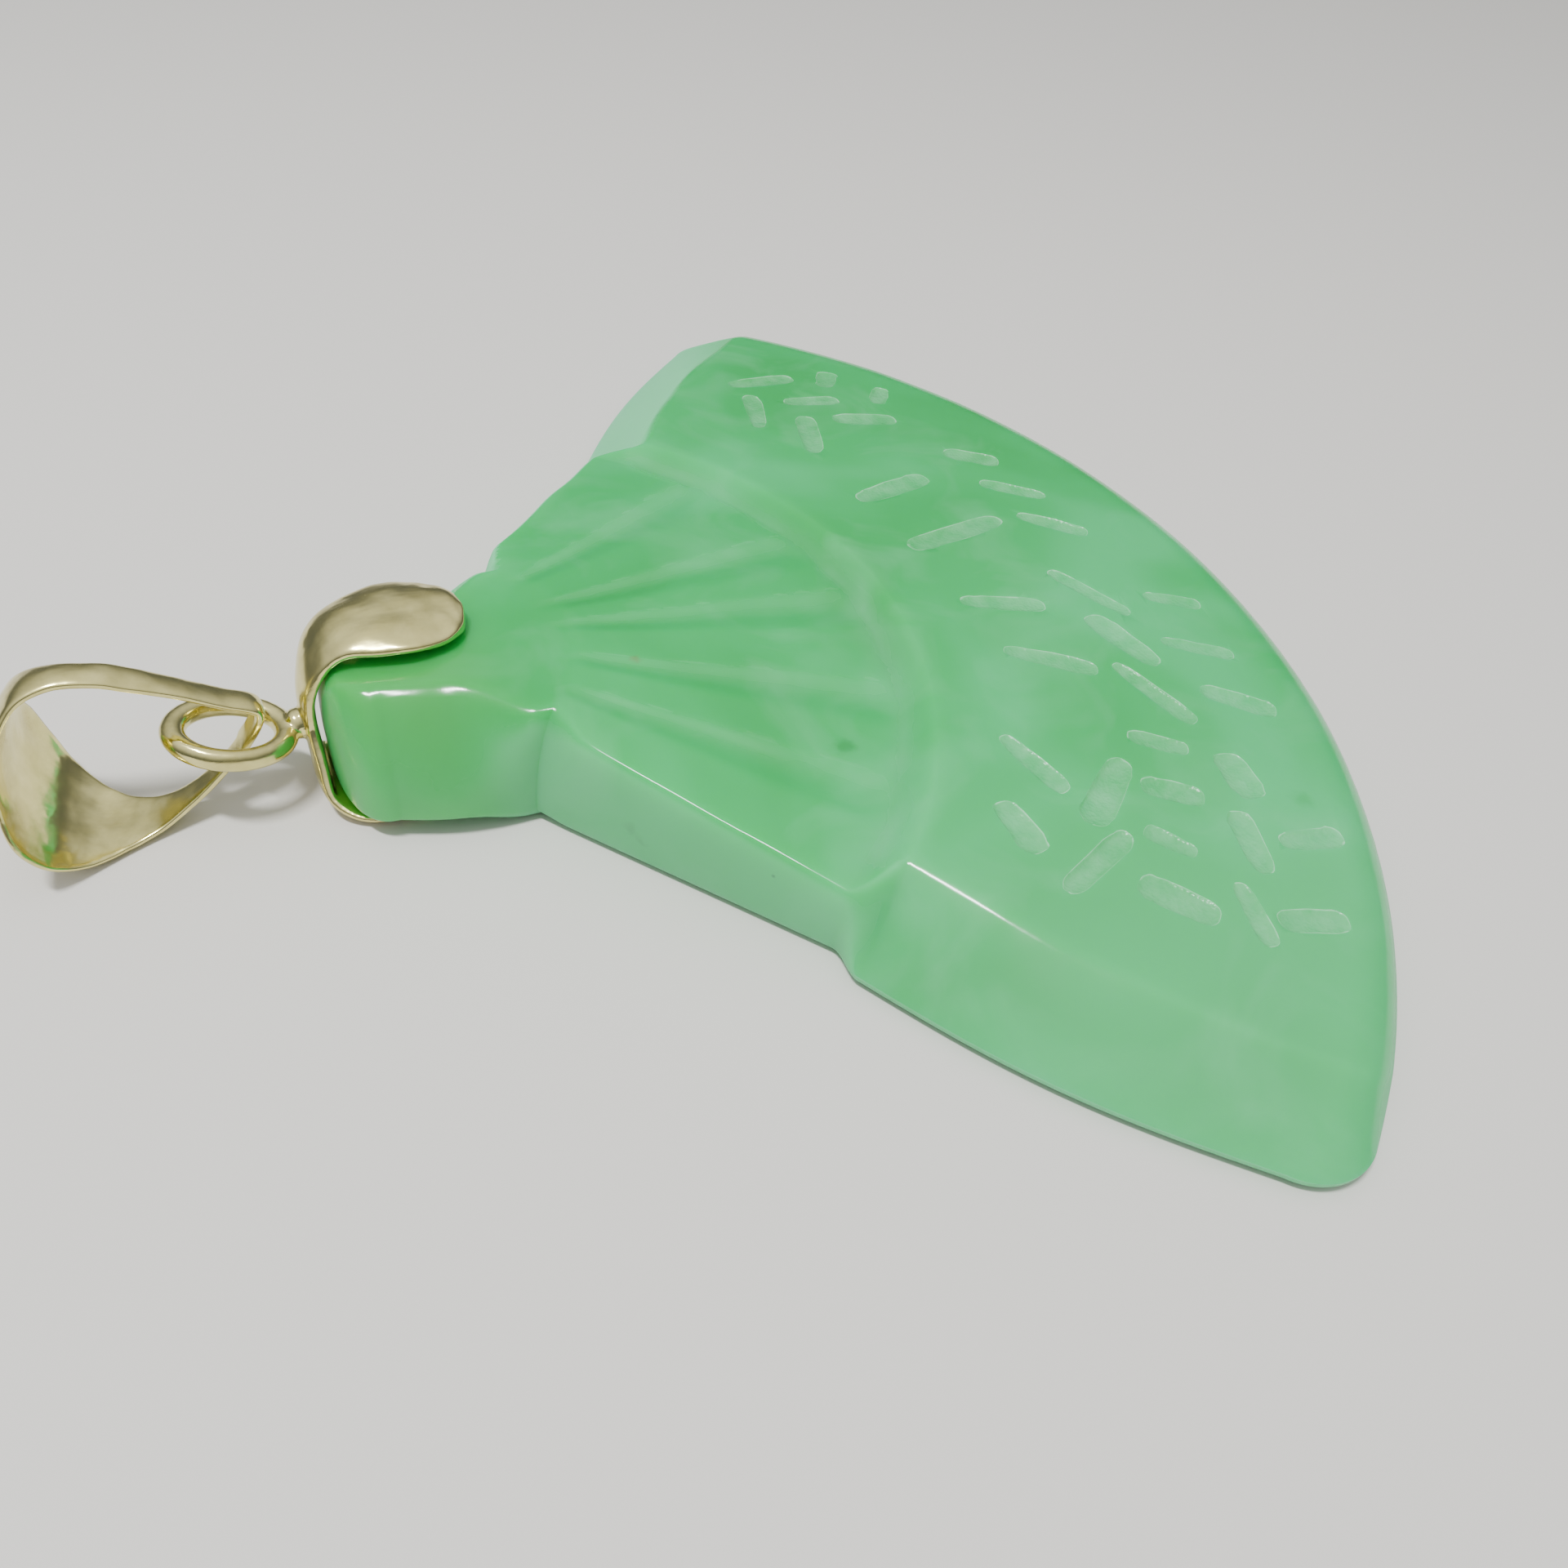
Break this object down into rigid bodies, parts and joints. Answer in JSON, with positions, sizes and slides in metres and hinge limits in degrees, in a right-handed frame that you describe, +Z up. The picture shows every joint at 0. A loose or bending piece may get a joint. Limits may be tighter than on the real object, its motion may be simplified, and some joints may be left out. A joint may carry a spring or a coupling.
{
  "type": "folding fan pendant",
  "caption": "Carved green stone pendant in the form of an open folding fan, held at its knob by a gold claw with a ring and a tapered bail.",
  "frame": {"origin": "on the surface it lies on, under the middle of the whole object's bounding box", "axes": "+X from the bail to the fan's round edge, +Y across the fan, +Z up out of the carved face"},
  "size_m": [0.0296, 0.0326, 0.004],
  "materials": {
    "jade": "polished translucent apple green jadeite with frosted incised strokes",
    "gold": "polished pale yellow gold alloy with fine wear"
  },
  "bodies": {
    "root": {"jade_fan": "jade", "claw_with_ring": "gold", "bail": "gold"}
  },
  "joints": []
}
